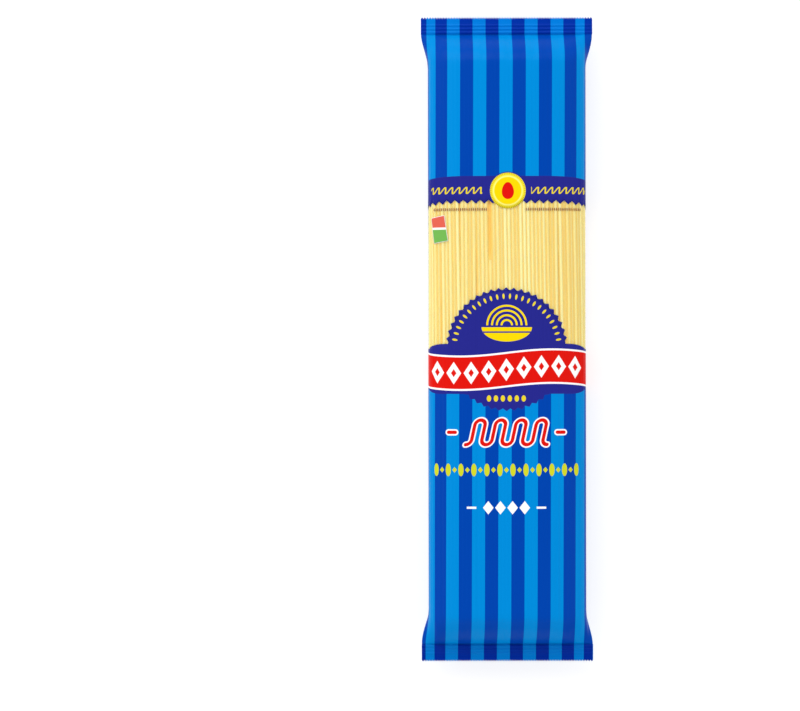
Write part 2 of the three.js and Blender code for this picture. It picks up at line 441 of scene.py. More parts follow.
@dataclass
class PackForm:
    """The pillow form of the bag: a flat-backed rounded section that closes into flat seals."""

    length: float
    seal_width: float
    thickness: float
    body_width: float = 73.4
    seal_depth: float = 8.0
    flare_length: float = 14.0
    flare_bend: float = 1.7
    spread_length: float = 16.5
    front_roundness: float = 3.0
    back_roundness: float = 4.5
    middle: float = 13.2
    seam_height: float = 0.4
    seal_thickness: float = 0.32
    straight_reach: float = 33.0
    layer_turn: float = 0.5
    slope_step: float = 0.15
    section_points: int = 4001
    arc: np.ndarray = field(init=False)
    section_x: np.ndarray = field(init=False)
    section_z: np.ndarray = field(init=False)
    seal_x: np.ndarray = field(init=False)
    side_arc: float = field(init=False)

    def __post_init__(self) -> None:
        """Measures the section once, as a table of places along the film."""
        angle = np.linspace(math.pi / 2, -math.pi / 2, self.section_points)
        power = np.where(angle >= 0, 2 / self.front_roundness, 2 / self.back_roundness)
        height = np.where(angle >= 0, self.thickness - self.middle, self.middle + self.seam_height)
        self.section_x = self.body_width / 2 * np.abs(np.cos(angle)) ** power
        rise = np.sign(np.sin(angle)) * np.abs(np.sin(angle)) ** power * height
        self.section_z = np.maximum(rise, self.seam_height - self.middle)
        steps = np.hypot(np.diff(self.section_x), np.diff(self.section_z))
        self.arc = np.concatenate([[0.0], np.cumsum(steps)])
        self.side_arc = float(self.arc[self.side_point])
        self.seal_x = self._flat_layout()

    def _flat_layout(self) -> np.ndarray:
        """Lays the section's film out across the flat seal, straight but for its two sides.

        Returns:
            The place across the seal of each place of the section.
        """
        spread = self.section_x.copy()
        side = self.side_point
        for part in (slice(0, side + 1), slice(side, self.section_points)):
            x = self.section_x[part]
            from_side = np.abs(self.arc[part] - self.side_arc)
            bent = x > self.straight_reach
            out = self.seal_width / 2 - self.straight_reach
            stretched = self.straight_reach + out * (1 - from_side / from_side[bent].max())
            spread[part] = np.where(bent, stretched, x)
        return spread

    @property
    def side_point(self) -> int:
        """Number of the section's point at the very side."""
        return self.section_points // 2

    @property
    def seal_start(self) -> float:
        """Distance from the middle of the packet to the start of a seal."""
        return self.length / 2 - self.seal_depth

    @property
    def flare_start(self) -> float:
        """Distance from the middle of the packet to the end of its full thickness."""
        return self.seal_start - self.flare_length

    @property
    def girth(self) -> float:
        """Length of film from the middle of the front to the middle of the back."""
        return float(self.arc[-1])

    def arc_at_height(self, z: float) -> float:
        """Returns how far round the film the lower side reaches a height above the floor."""
        side = self.side_point
        return float(np.interp(self.middle - z, -self.section_z[side:], self.arc[side:]))

    def arc_at_front(self, x: float) -> float:
        """Returns how far round the film the front of the body reaches a place across."""
        front = slice(0, self.side_point + 1)
        return math.copysign(np.interp(abs(x), self.section_x[front], self.arc[front]), x)

    def arc_at_seal(self, x: np.ndarray, front: bool) -> np.ndarray:
        """Finds the film that lies at a place across the seal.

        Args:
            x: Places across the seal.
            front: True for the front layer, False for the back layer.

        Returns:
            Distances round the film from the middle of the front.
        """
        side = self.side_point
        if front:
            found = np.interp(np.abs(x), self.seal_x[: side + 1], self.arc[: side + 1])
        else:
            found = np.interp(-np.abs(x), -self.seal_x[side:], self.arc[side:])
        return np.sign(x) * found

    def progress(self, y: np.ndarray, length: float) -> np.ndarray:
        """Returns 0 up to a length before the seal and 1 at the seal."""
        return np.clip((np.abs(y) - self.seal_start + length) / length, 0, 1)

    def surface(self, arc: np.ndarray, y: np.ndarray) -> np.ndarray:
        """Places points on the outer face of the film.

        Args:
            arc: Distances round the film from the middle of the front, negative to the left.
            y: Places along the packet.

        Returns:
            One row of x, y and z for each pair.
        """
        away = np.abs(arc)
        spread = smooth(self.progress(y, self.spread_length))
        body_x = np.interp(away, self.arc, self.section_x)
        flat_x = np.interp(away, self.arc, self.seal_x)
        x = np.sign(arc) * (body_x * (1 - spread) + flat_x * spread)
        closing = self.progress(y, self.flare_length)
        rise = np.interp(away, self.arc, self.section_z)
        layer = np.clip((self.side_arc - away) / self.layer_turn, -1, 1) * self.seal_thickness / 2
        z = self.middle + rise * (1 - closing**self.flare_bend) + layer * closing
        return np.stack([x, y, z], axis=-1)

    def outwards(self, arc: np.ndarray, y: np.ndarray) -> np.ndarray:
        """Finds the outward direction of the film.

        Args:
            arc: Distances round the film from the middle of the front.
            y: Places along the packet.

        Returns:
            One row of unit length for each pair.
        """
        step = self.slope_step
        across = self.surface(arc + step, y) - self.surface(arc - step, y)
        along = self.surface(arc, y + step) - self.surface(arc, y - step)
        direction = np.cross(across, along)
        return direction / np.maximum(np.linalg.norm(direction, axis=-1, keepdims=True), TINY)


@dataclass(frozen=True)
class WindowForm:
    """Outline of the clear window: zigzag and badge along its top, an arch rising from below."""

    notch: float = 64.15
    tip: float = 62.45
    tooth_pitch: float = 3.9
    tooth_shift: float = -0.25
    shoulder: float = -2.14
    arch_x: float = 0.25
    arch_centre: float = -4.62
    arch_radius: float = 27.3
    floor_height: float = 5.0
    badge_x: float = 0.85
    badge_y: float = 68.4
    badge_radius: float = 8.25
    droop_start: float = 20.0
    droop_reach: float = 36.0
    droop_rate: float = 0.0038
    shoulder_start: float = 29.0
    shoulder_rate: float = 0.022

    def droop(self, across: np.ndarray) -> np.ndarray:
        """Returns how far the band is drawn down where the film turns over the sides."""
        turned = np.clip(np.abs(across) - self.droop_start, 0.0, self.droop_reach)
        return self.droop_rate * turned**2

    def top(self, across: np.ndarray) -> np.ndarray:
        """Finds the upper edge of the window.

        Args:
            across: Places across the print.

        Returns:
            The height of the edge at each place.
        """
        phase = np.abs(((across - self.tooth_shift) / self.tooth_pitch + 0.5) % 1.0 - 0.5) * 2
        teeth = self.notch - (self.notch - self.tip) * phase - self.droop(across)
        inside = np.maximum(self.badge_radius**2 - (across - self.badge_x) ** 2, 0.0)
        badge = np.where(inside > 0, self.badge_y - np.sqrt(inside), self.notch)
        return np.minimum(teeth, badge)

    def bottom(self, across: np.ndarray) -> np.ndarray:
        """Finds the lower edge of the window.

        Args:
            across: Places across the print.

        Returns:
            The height of the edge at each place.
        """
        inside = np.maximum(self.arch_radius**2 - (across - self.arch_x) ** 2, 0.0)
        turned = np.maximum(np.abs(across) - self.shoulder_start, 0.0)
        shoulder = self.shoulder - self.shoulder_rate * turned**2
        return np.maximum(self.arch_centre + np.sqrt(inside), shoulder)


@dataclass
class StrandLayer:
    """One layer of strands lying side by side inside the film, each nearly straight."""

    form: PackForm
    inset: float
    seed: int
    diameter: float = 1.75
    length: float = 256.0
    twist_centre: float = 44.0
    twist_reach: float = 42.0
    slack: float = 0.035
    loose_share: float = 0.12
    sunk_share: float = 0.3
    sunk_depth: Pair = (0.12, 0.28)
    upper_depth: Pair = (0.0, 0.1)
    neighbour_depth: float = 0.15
    loose_gap: Pair = (0.4, 1.0)
    tight_gap: Pair = (0.0, 0.05)
    table_points: int = 2401
    line: np.ndarray = field(init=False)
    out: np.ndarray = field(init=False)
    line_arc: np.ndarray = field(init=False)
    starts: np.ndarray = field(init=False)
    ends: np.ndarray = field(init=False)
    depths: np.ndarray = field(init=False)

    def __post_init__(self) -> None:
        """Lays the strands out round the section, some sunk between their neighbours."""
        arcs = np.linspace(-self.form.girth, self.form.girth, self.table_points)
        flat = np.zeros_like(arcs)
        self.out = self.form.outwards(arcs, flat)[:, [0, 2]]
        self.line = self.form.surface(arcs, flat)[:, [0, 2]] - self.out * self.inset
        steps = np.hypot(*np.diff(self.line, axis=0).T)
        self.line_arc = np.concatenate([[0.0], np.cumsum(steps)])
        rng = random.Random(self.seed)
        self.depths = self._sunk_depths(rng)
        self.starts = self._spaced(rng)
        self.ends = self._spaced(rng)

    def _sunk_depths(self, rng: random.Random) -> np.ndarray:
        """Draws how deep each strand lies, until they fill the way round the section.

        Args:
            rng: The layer's random draws.

        Returns:
            Depths below the layer's own line.
        """
        depths, filled = [0.0], self.diameter
        room = self.line_arc[-1] * (1 - self.slack)
        while True:
            sunk = rng.random() < self.sunk_share and depths[-1] < self.neighbour_depth
            depth = rng.uniform(*(self.sunk_depth if sunk else self.upper_depth))
            filled += math.sqrt(self.diameter**2 - (depth - depths[-1]) ** 2)
            if filled > room:
                return np.array(depths)
            depths.append(depth)

    def _spaced(self, rng: random.Random) -> np.ndarray:
        """Draws where the strands lie round the section, with uneven gaps and no overlaps.

        Args:
            rng: The layer's random draws.

        Returns:
            Places of the strands' centres along the layer's line.
        """
        touching = np.sqrt(self.diameter**2 - np.diff(self.depths, prepend=0.0) ** 2)
        shares = []
        for _ in touching:
            loose = rng.random() < self.loose_share
            shares.append(rng.uniform(*(self.loose_gap if loose else self.tight_gap)))
        gaps = np.array(shares) * (self.line_arc[-1] - touching.sum()) / sum(shares)
        return np.cumsum(touching + gaps) - self.diameter / 2

    def places(self, y: np.ndarray) -> np.ndarray:
        """Returns each strand's place round the section, one row for each y."""
        turn = (np.tanh((y - self.twist_centre) / self.twist_reach) + 1) / 2
        return self.starts[None, :] + (self.ends - self.starts)[None, :] * turn[:, None]

    def under(self, arc: np.ndarray) -> np.ndarray:
        """Returns the place along the layer's line under each place round the film."""
        reach = self.form.girth
        return np.interp(arc, np.linspace(-reach, reach, len(self.line_arc)), self.line_arc)

    def distance(self, places: np.ndarray, y: float, left_out: int | None = None) -> np.ndarray:
        """Finds how far places round the section are from the nearest strand's middle.

        Args:
            places: Places along the layer's line.
            y: Where along the packet.
            left_out: Number of a strand that doesn't reach this far.

        Returns:
            One distance for each place.
        """
        middles = self.places(np.array([y]))[0]
        if left_out is not None:
            middles = np.delete(middles, left_out)
        after = np.clip(np.searchsorted(middles, places), 1, len(middles) - 1)
        return np.minimum(np.abs(places - middles[after]), np.abs(places - middles[after - 1]))

    def centres(self, places: np.ndarray, depth: float) -> np.ndarray:
        """Finds the centres of a strand.

        Args:
            places: Places along the layer's line.
            depth: How far below the line the strand lies.

        Returns:
            One row of x and z for each place.
        """
        inward = [np.interp(places, self.line_arc, self.out[:, side]) for side in (0, 1)]
        centre = [np.interp(places, self.line_arc, self.line[:, side]) for side in (0, 1)]
        return np.stack([centre[side] - inward[side] * depth for side in (0, 1)], axis=-1)


@dataclass(frozen=True)
class PastaFinish:
    """Dry egg pasta: pale yellow, faintly translucent, its tone varying at random and deepened as
    painted shade where strands lie sunk.
    """

    light: Colour = srgb(255, 246, 178)
    # Deeper pasta colour: it gives the random tone variation and also the painted shade of sunk
    # strands and of the core.
    deep_tone_and_shade: Colour = srgb(255, 206, 92)
    roughness: float = 0.5
    gloss: float = 0.06
    glow: float = 0.6
    glow_depth: float = 1.1
    glow_tint: tuple[float, float, float] = (1.0, 0.85, 0.6)
    streaks_across: float = 1100.0
    streaks_along: float = 45.0
    streak_detail: float = 3.0
    streak_tone: float = 0.2
    streak_strength: float = 0.1
    streak_depth: float = 0.1

    def material(self) -> bpy.types.Material:
        """Builds the pasta material.

        Returns:
            The material, which reads each strand's tone, painted shade included, from the first
            coordinate of the pieces' tone map.
        """
        settings = {
            "Roughness": self.roughness,
            "Specular IOR Level": self.gloss,
            "Subsurface Weight": self.glow,
            "Subsurface Radius": self.glow_tint,
            "Subsurface Scale": self.glow_depth * MM,
        }
        material, shader = new_material("dry_pasta", settings)
        wiring = Wiring(material.node_tree)
        scale = (self.streaks_across, self.streaks_along, self.streaks_across)
        place = wiring.add("ShaderNodeTexCoord", {}).outputs["Object"]
        stretched = wiring.add("ShaderNodeMapping", {"Vector": place, "Scale": scale}).outputs[0]
        streaks = wiring.noise(stretched, 1.0, self.streak_detail)
        share = wiring.work("MULTIPLY_ADD", streaks, self.streak_tone, wiring.flat("tone")[0])
        colour = wiring.mix(share, self.light, self.deep_tone_and_shade)
        uneven = wiring.bump(streaks, self.streak_strength, self.streak_depth)
        wiring.feed(shader, {"Base Color": colour, "Normal": uneven})
        return material


@dataclass(frozen=True)
class BakeSheet:
    """Where each strand lies on the map for baking: its wall in a column, its ends above it."""

    strands: int
    sides: int
    gap: float = 0.08
    foot: float = 0.02
    height: float = 0.9
    end_levels: Pair = (0.94, 0.97)
    end_width: float = 0.4
    end_height: float = 0.008

    def wall(self, strand: int, quads: np.ndarray, along: np.ndarray) -> np.ndarray:
        """Lays the wall of a strand out, without a jump at the face that closes it.

        Args:
            strand: Number of the strand.
            quads: Point numbers of the strand's faces.
            along: How far along the strand each point lies, from 0 to 1.

        Returns:
            One flat place for each corner of each face.
        """
        step = quads % self.sides
        closing = step[:, 0] == self.sides - 1
        step[closing, 1:3] = self.sides
        column = (strand + self.gap + (1 - 2 * self.gap) * step / self.sides) / self.strands
        level = self.foot + self.height * along[quads]
        return np.stack([column, level], axis=-1).reshape(-1, 2)

    def end(self, strand: int, end: int) -> np.ndarray:
        """Lays an end of a strand out.

        Args:
            strand: Number of the strand.
            end: 0 for the lower end, 1 for the upper end.

        Returns:
            One flat place for each corner of the end face.
        """
        turn = np.arange(self.sides) * 2 * math.pi / self.sides
        across = (strand + 0.5 + np.cos(turn) * self.end_width) / self.strands
        level = self.end_levels[end] + np.sin(turn) * self.end_height
        return np.stack([across, level], axis=-1)


@dataclass
class SpaghettiBundle:
    """The strands in the bag: the outer ones round and whole, half sunk in the rest of them."""

    form: PackForm
    film_gap: float = 0.2
    bed_depth: float = 0.35
    groove_depth: float = 0.8
    sides: int = 10
    ring_step: float = 8.0
    uneven_ends: float = 1.8
    broken_at: float = -8.8
    broken_end: float = 36.5
    thinnest: float = 0.96
    tone_spread: float = 0.4
    # Painted shade given to a strand that is sunk its full depth.
    sunk_shade: float = 0.3
    sunk_depth: float = 0.3
    core_points: int = 960
    core_rings: int = 43
    core_reach: float = 126.0
    groove_slope: float = 0.25
    # Painted shade of the core's bed between the strands; the grooves take the full deep colour.
    bed_shade: float = 0.8
    lay_seed: int = 11
    look_seed: int = 5
    outer: StrandLayer = field(init=False)
    broken: int = field(init=False)

    def __post_init__(self) -> None:
        """Lays the outer strands against the film and picks the broken one."""
        inset = self.film_gap + StrandLayer.diameter / 2
        self.outer = StrandLayer(self.form, inset, self.lay_seed)
        x, z = self.outer.centres(self.outer.places(np.array([self.broken_end]))[0], 0.0).T
        on_back = z < self.form.middle
        self.broken = int(np.argmin(np.abs(x - self.broken_at) + on_back * self.form.length))

    def _strand(
        self, layer: StrandLayer, strand: int, rng: random.Random
    ) -> tuple[np.ndarray, np.ndarray, np.ndarray]:
        """Builds one strand.

        Args:
            layer: The layer that the strand lies in.
            strand: Number of the strand in the layer.
            rng: Draws the tone, the ends and the size of the strand.

        Returns:
            The points, how far along the packet each one lies, and the tone of each point, deepened
            as painted shade for a sunk strand.
        """
        low = -layer.length / 2 + rng.uniform(0.0, self.uneven_ends)
        high = layer.length / 2 - rng.uniform(0.0, self.uneven_ends)
        depth = float(layer.depths[strand])
        radius = layer.diameter / 2 * rng.uniform(self.thinnest, 1.0)
        tone = rng.uniform(0.0, self.tone_spread)
        # Painted shade: a sunk strand is coloured deeper because it lies in the shadow of its
        # neighbours.
        tone += self.sunk_shade * min(depth / self.sunk_depth, 1.0)
        if strand == self.broken:
            high = self.broken_end
        y = np.linspace(low, high, max(3, round((high - low) / self.ring_step)))
        centre = layer.centres(layer.places(y)[:, strand], depth)
        turn = np.arange(self.sides) * 2 * math.pi / self.sides
        points = np.empty((len(y), self.sides, 3))
        points[..., 0] = centre[:, None, 0] + np.cos(turn) * radius
        points[..., 1] = y[:, None]
        points[..., 2] = centre[:, None, 1] + np.sin(turn) * radius
        along = np.repeat((y + layer.length / 2) / layer.length, self.sides)
        return points.reshape(-1, 3), along, np.full(len(along), tone)

    def _layer_piece(
        self, name: str, layer: StrandLayer, material: bpy.types.Material, rng: random.Random
    ) -> bpy.types.Object:
        """Builds one layer of strands as a single piece.

        Args:
            name: Name of the piece.
            layer: Where the strands lie.
            material: The pasta material.
            rng: Draws the tone, the ends and the size of each strand.

        Returns:
            The new piece.
        """
        points, faces, tones, sheets = [], [], [], []
        sheet = BakeSheet(len(layer.starts), self.sides)
        first = 0
        for strand in range(sheet.strands):
            block, along, tone = self._strand(layer, strand, rng)
            rings = len(block) // self.sides
            quads = grid_faces(rings, self.sides, closed=True)[:, ::-1]
            faces += (quads + first).tolist()
            sheets.append(sheet.wall(strand, quads, along))
            for end, order in ((0, 1), (1, -1)):
                corner = first + end * (rings - 1) * self.sides
                faces.append([corner + side for side in range(self.sides)][::order])
                sheets.append(sheet.end(strand, end)[::order])
            points.append(block)
            tones.append(np.stack([tone, along], axis=-1))
            first += len(block)
        maps = {"tone": np.concatenate(tones), "OFBake": np.concatenate(sheets)}
        return make_piece(name, np.concatenate(points), faces, maps, material)

    def _core_piece(self, material: bpy.types.Material) -> bpy.types.Object:
        """Builds the solid heart of the bundle, with grooves where the outer strands leave gaps,
        coloured in painted shade.

        Args:
            material: The pasta material.

        Returns:
            The new piece.
        """
        around, rings = self.core_points, self.core_rings
        arcs = np.linspace(-self.form.girth, self.form.girth, around, endpoint=False)
        flat = np.zeros_like(arcs)
        film, out = self.form.surface(arcs, flat), self.form.outwards(arcs, flat)
        places = self.outer.under(arcs)
        blocks, tones = [], []
        for y in np.linspace(-self.core_reach, self.core_reach, rings):
            left_out = self.broken if y > self.broken_end else None
            past = self.outer.distance(places, y, left_out) - self.outer.diameter / 2
            groove = smooth(past / self.groove_slope)
            inset = self.film_gap + self.bed_depth + groove * self.groove_depth
            ring = film - out * inset[:, None]
            ring[:, 1] = y
            blocks.append(ring)
            # Painted shade: the bed is coloured deep and the grooves deeper still, standing in for
            # the shadow between strands.
            tone = self.bed_shade + (1 - self.bed_shade) * groove
            tones.append(np.stack([tone, flat + y / self.outer.length + 0.5], axis=-1))
        faces = grid_faces(rings, around, closed=True).tolist()
        faces.append(list(reversed(range(around))))
        faces.append([(rings - 1) * around + step for step in range(around)])
        maps = {"tone": np.concatenate(tones)}
        return make_piece("strand_core", np.concatenate(blocks), faces, maps, material)

    def build(self, finish: PastaFinish) -> list[bpy.types.Object]:
        """Builds and dresses the bundle.

        Args:
            finish: The look of the pasta.

        Returns:
            The pieces of the bundle.
        """
        material = finish.material()
        rng = random.Random(self.look_seed)
        pieces = [
            self._layer_piece("outer_strands", self.outer, material, rng),
            self._core_piece(material),
        ]
        for piece in pieces:
            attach(piece, "root")
            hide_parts("spaghetti_bundle")
        return pieces


@dataclass(frozen=True)
class Inks:
    """The printing inks of the film, with the lower seal's stripe colours darkened further as painted
    shade.
    """

    bright: Colour = srgb(0, 136, 213)
    dark: Colour = srgb(0, 66, 169)
    bright_crimp: Colour = srgb(0, 122, 213)
    dark_crimp: Colour = srgb(0, 48, 160)
    # The lower seal's stripes: the crimp's deeper ink, darkened further as painted shade for that end
    # lying in shadow.
    shaded_bright_foot: Colour = srgb(0, 116, 197)
    shaded_dark_foot: Colour = srgb(0, 40, 145)
    navy: Colour = srgb(38, 40, 137)
    red: Colour = srgb(220, 22, 14)
    white: Colour = srgb(252, 250, 250)
    yellow: Colour = srgb(244, 213, 6)
    pale_yellow: Colour = srgb(254, 246, 130)
    rim_yellow: Colour = srgb(240, 222, 50)
    rim_shade: Colour = srgb(196, 170, 20)
    lemon: Colour = srgb(206, 210, 42)
    gold: Colour = srgb(232, 208, 44)
    tag_red: Colour = srgb(222, 96, 78)
    tag_green: Colour = srgb(112, 178, 80)
    brown: Colour = srgb(168, 120, 82)


@dataclass(frozen=True)
class Stripes:
    """The two-tone stripes, deeper where the film is crimped, and darker still on the lower seal as
    painted shade.
    """

    width: float = 6.06
    shift: float = -0.39
    lean: float = 0.0042
    seal_start: float = 142.0
    softness: float = 0.25

    def draw(self, art: Sketch, inks: Inks) -> None:
        """Prints the stripes.

        Args:
            art: The drawing.
            inks: The inks.
        """
        straight = art.work("MULTIPLY_ADD", art.y, -self.lean, art.x)
        folded = art.repeat(straight, 2 * self.width, self.shift)
        bright = art.past(art.work("ABSOLUTE", folded), self.width / 2)
        tones = []
        for dark, light in (
            (inks.dark_crimp, inks.bright_crimp),
            (inks.shaded_dark_foot, inks.shaded_bright_foot),
            (inks.dark, inks.bright),
        ):
            art.colour = dark
            art.paint(bright, light)
            tones.append(art.colour)
        art.paint(art.work("SUBTRACT", self.seal_start, art.y), tones[0], self.softness)
        # The lower seal gets the darker pair, which is painted shade over the crimp's ink.
        art.paint(art.past(art.y, -self.seal_start), tones[1], self.softness)


@dataclass(frozen=True)
class Band:
    """The navy band over the window, with a slanted wavy line on each side of the badge."""

    top: float = 75.15
    overlap: float = 3.0
    line_y: float = 68.5
    line_runs: tuple[Pair, ...] = ((-36.0, -11.0), (11.6, 40.0))
    slant: float = -0.45
    swing: float = 1.25
    pitch: float = 3.3
    half_stroke: float = 0.34

    def draw(self, art: Sketch, inks: Inks, window: WindowForm) -> None:
        """Prints the band, drawn down a little where the film turns over the sides.

        Args:
            art: The drawing.
            inks: The inks.
            window: Outline of the window.
        """
        away = art.past(art.work("ABSOLUTE", art.x), window.droop_start)
        held = art.work("MINIMUM", art.work("MAXIMUM", away, 0.0), window.droop_reach)
        square = art.work("MULTIPLY", held, held)
        level = art.work("MULTIPLY_ADD", square, window.droop_rate, art.y)
        art.paint(art.band(level, window.tip - self.overlap, self.top), inks.navy)
        height = art.past(art.y, self.line_y)
        for low, high in self.line_runs:
            stretch = art.band(art.x, low, high)
            slanted = art.work("MULTIPLY_ADD", height, self.slant, art.x)
            stroke = art.wave(slanted, height, self.swing, self.pitch, self.half_stroke)
            art.paint(art.both(stroke, stretch), inks.gold)


@dataclass(frozen=True)
class Badge:
    """The round yellow badge with a milled rim and an egg in it."""

    outline: float = 0.45
    outline_softness: float = 0.3
    ticks: int = 60
    half_tick: float = 0.16
    tick_softness: float = 0.1
    rim: float = 0.75
    ring: float = 1.35
    ring_softness: float = 0.25
    face: float = 1.95
    face_softness: float = 0.15
    egg_taper: float = 0.035
    egg: Pair = (2.75, 3.9)

    def draw(self, art: Sketch, inks: Inks, window: WindowForm) -> None:
        """Prints the badge.

        Args:
            art: The drawing.
            inks: The inks.
            window: Outline of the window.
        """
        x, y, radius = window.badge_x, window.badge_y, window.badge_radius
        art.paint(art.disc(x, y, radius + self.outline), inks.navy, self.outline_softness)
        art.paint(art.disc(x, y, radius), inks.rim_yellow)
        across, along = art.past(art.x, x), art.past(art.y, y)
        turn = art.work("MULTIPLY", art.work("ARCTAN2", along, across), radius)
        step = art.repeat(turn, 2 * math.pi * radius / self.ticks)
        tick = art.past(art.work("ABSOLUTE", step), self.half_tick)
        rim = art.band(art.reach(across, along), radius - self.rim, radius)
        art.paint(art.both(tick, rim), inks.rim_shade, self.tick_softness)
        art.paint(art.disc(x, y, radius - self.ring), inks.pale_yellow, self.ring_softness)
        art.paint(art.disc(x, y, radius - self.face), inks.yellow, self.face_softness)
        narrow = art.work("MULTIPLY_ADD", along, self.egg_taper, 1.0)
        art.paint(art.ellipse(art.work("MULTIPLY", across, narrow), along, *self.egg), inks.red)


@dataclass(frozen=True)
class Panel:
    """The navy arch panel: a disc with a zigzag rim and a strip, with grains and a bowl on it."""

    rim_height: float = 0.6
    rim_start: float = 11.0
    rim_step: float = 7.23
    disc_margin: float = 0.25
    strip_foot: float = -25.2
    strip_overlap: float = 0.2
    strip_turn: float = 31.0
    strip_rise: float = 0.03
    grain_inset: float = 2.9
    grain_count: int = 26
    grain: Pair = (0.5, 1.25)
    grain_foot: float = 2.6
    bowl_rim: float = 6.4
    bowl: Pair = (11.6, 6.6)
    bowl_gap: float = 0.9
    bowl_line: Pair = (-2.6, -1.9)
    mound: float = 9.0
    mound_step: float = 2.2
    mound_strands: int = 4
    half_strand: float = 0.45

    def draw(self, art: Sketch, inks: Inks, window: WindowForm) -> None:
        """Prints the panel.

        Args:
            art: The drawing.
            inks: The inks.
            window: Outline of the window.
        """
        across = art.past(art.x, window.arch_x)
        along = art.past(art.y, window.arch_centre)
        self._disc(art, inks, window.arch_radius, across, along)
        turned = art.past(art.work("ABSOLUTE", art.x), self.strip_turn)
        away = art.work("MAXIMUM", turned, 0.0)
        square = art.work("MULTIPLY", away, away)
        raised = art.work("MULTIPLY_ADD", square, self.strip_rise, self.strip_foot)
        foot = art.past(raised, art.y)
        top = art.past(art.y, window.shoulder + self.strip_overlap)
        art.paint(art.both(foot, top), inks.navy)
        self._grains(art, inks, window.arch_radius - self.grain_inset, across, along)
        self._bowl(art, inks, across)

    def _disc(
        self, art: Sketch, inks: Inks, valley: float, across: Socket, along: Socket
    ) -> None:
        """Prints the navy disc, of which the arch is the upper half, with a zigzag rim.

        Args:
            art: The drawing.
            inks: The inks.
            valley: Radius of the notches between the teeth of the rim.
            across: Place across, from the middle of the disc.
            along: Place along, from the middle of the disc.
        """
        upper = art.past(art.reach(across, along), valley + self.disc_margin)
        art.paint(art.both(upper, art.work("SUBTRACT", 0.0, along)), inks.navy)
        turn = art.work("DEGREES", art.work("ARCTAN2", along, across))
        tooth = art.work("ABSOLUTE", art.repeat(turn, self.rim_step, self.rim_start))
        slope = 4 * self.rim_height / self.rim_step
        edge = art.work("MULTIPLY_ADD", tooth, -slope, valley + 2 * self.rim_height)
        art.paint(art.both(art.past(art.reach(across, along), edge), along), inks.navy)

    def _grains(
        self, art: Sketch, inks: Inks, radius: float, across: Socket, along: Socket
    ) -> None:
        """Prints a row of small grains along the arch.

        Args:
            art: The drawing.
            inks: The inks.
            radius: Distance of the row from the middle of the arch.
            across: Place across, from the middle of the arch.
            along: Place along, from the middle of the arch.
        """
        turn = art.work("MULTIPLY", art.work("ARCTAN2", along, across), radius)
        pitch = math.pi * radius / self.grain_count
        step = art.repeat(turn, pitch, pitch / 2)
        out = art.past(art.reach(across, along), radius)
        grains = art.ellipse(step, out, *self.grain)
        art.paint(art.both(grains, art.work("SUBTRACT", self.grain_foot, along)), inks.gold)

    def _bowl(self, art: Sketch, inks: Inks, across: Socket) -> None:
        """Prints a plain bowl with a mound of strands in it.

        Args:
            art: The drawing.
            inks: The inks.
            across: Place across, from the middle of the bowl.
        """
        height = art.past(art.y, self.bowl_rim)
        above = art.work("SUBTRACT", self.bowl_rim, art.y)
        for step in range(self.mound_strands):
            radius = self.mound - self.mound_step * step
            strand = art.line(art.past(art.reach(across, height), radius), self.half_strand)
            art.paint(art.both(strand, above), inks.yellow)
        up = art.past(art.y, self.bowl_rim - self.bowl_gap)
        bowl = art.both(art.ellipse(across, up, *self.bowl), up)
        art.paint(bowl, inks.yellow)
        art.paint(art.both(bowl, art.band(up, *self.bowl_line)), inks.navy)


@dataclass(frozen=True)
class Ribbon:
    """The red band with white edges that swings across the panel, and the dots under it."""

    middle: float = -14.05
    swing: float = 1.61
    wave: float = 85.0
    half_white: float = 8.15
    half_red: float = 7.3
    pitch: float = 8.1
    reach: float = 36.5
    lozenge: Pair = (3.5, 5.2)
    heart: Pair = (1.3, 1.9)
    dot_y: float = -27.3
    dot_pitch: float = 3.2
    dot_reach: float = 9.7
    dot: Pair = (1.0, 1.45)

    def draw(self, art: Sketch, inks: Inks) -> None:
        """Prints the ribbon and the dots.

        Args:
            art: The drawing.
            inks: The inks.
        """
        turn = art.work("MULTIPLY", art.x, 2 * math.pi / self.wave)
        swing = art.work("MULTIPLY", art.work("SINE", turn), self.swing)
        row = art.past(art.past(art.y, self.middle), swing)
        art.paint(art.band(row, -self.half_white, self.half_white), inks.white)
        art.paint(art.band(row, -self.half_red, self.half_red), inks.red)
        column = art.repeat(art.x, self.pitch)
        stretch = art.band(art.x, -self.reach, self.reach)
        for size, ink in ((self.lozenge, inks.white), (self.heart, inks.red)):
            art.paint(art.both(art.lozenge(column, row, *size), stretch), ink)
        place = art.repeat(art.x, self.dot_pitch, self.dot_pitch / 2)
        dots = art.ellipse(place, art.past(art.y, self.dot_y), *self.dot)
        art.paint(art.both(dots, art.band(art.x, -self.dot_reach, self.dot_reach)), inks.gold)


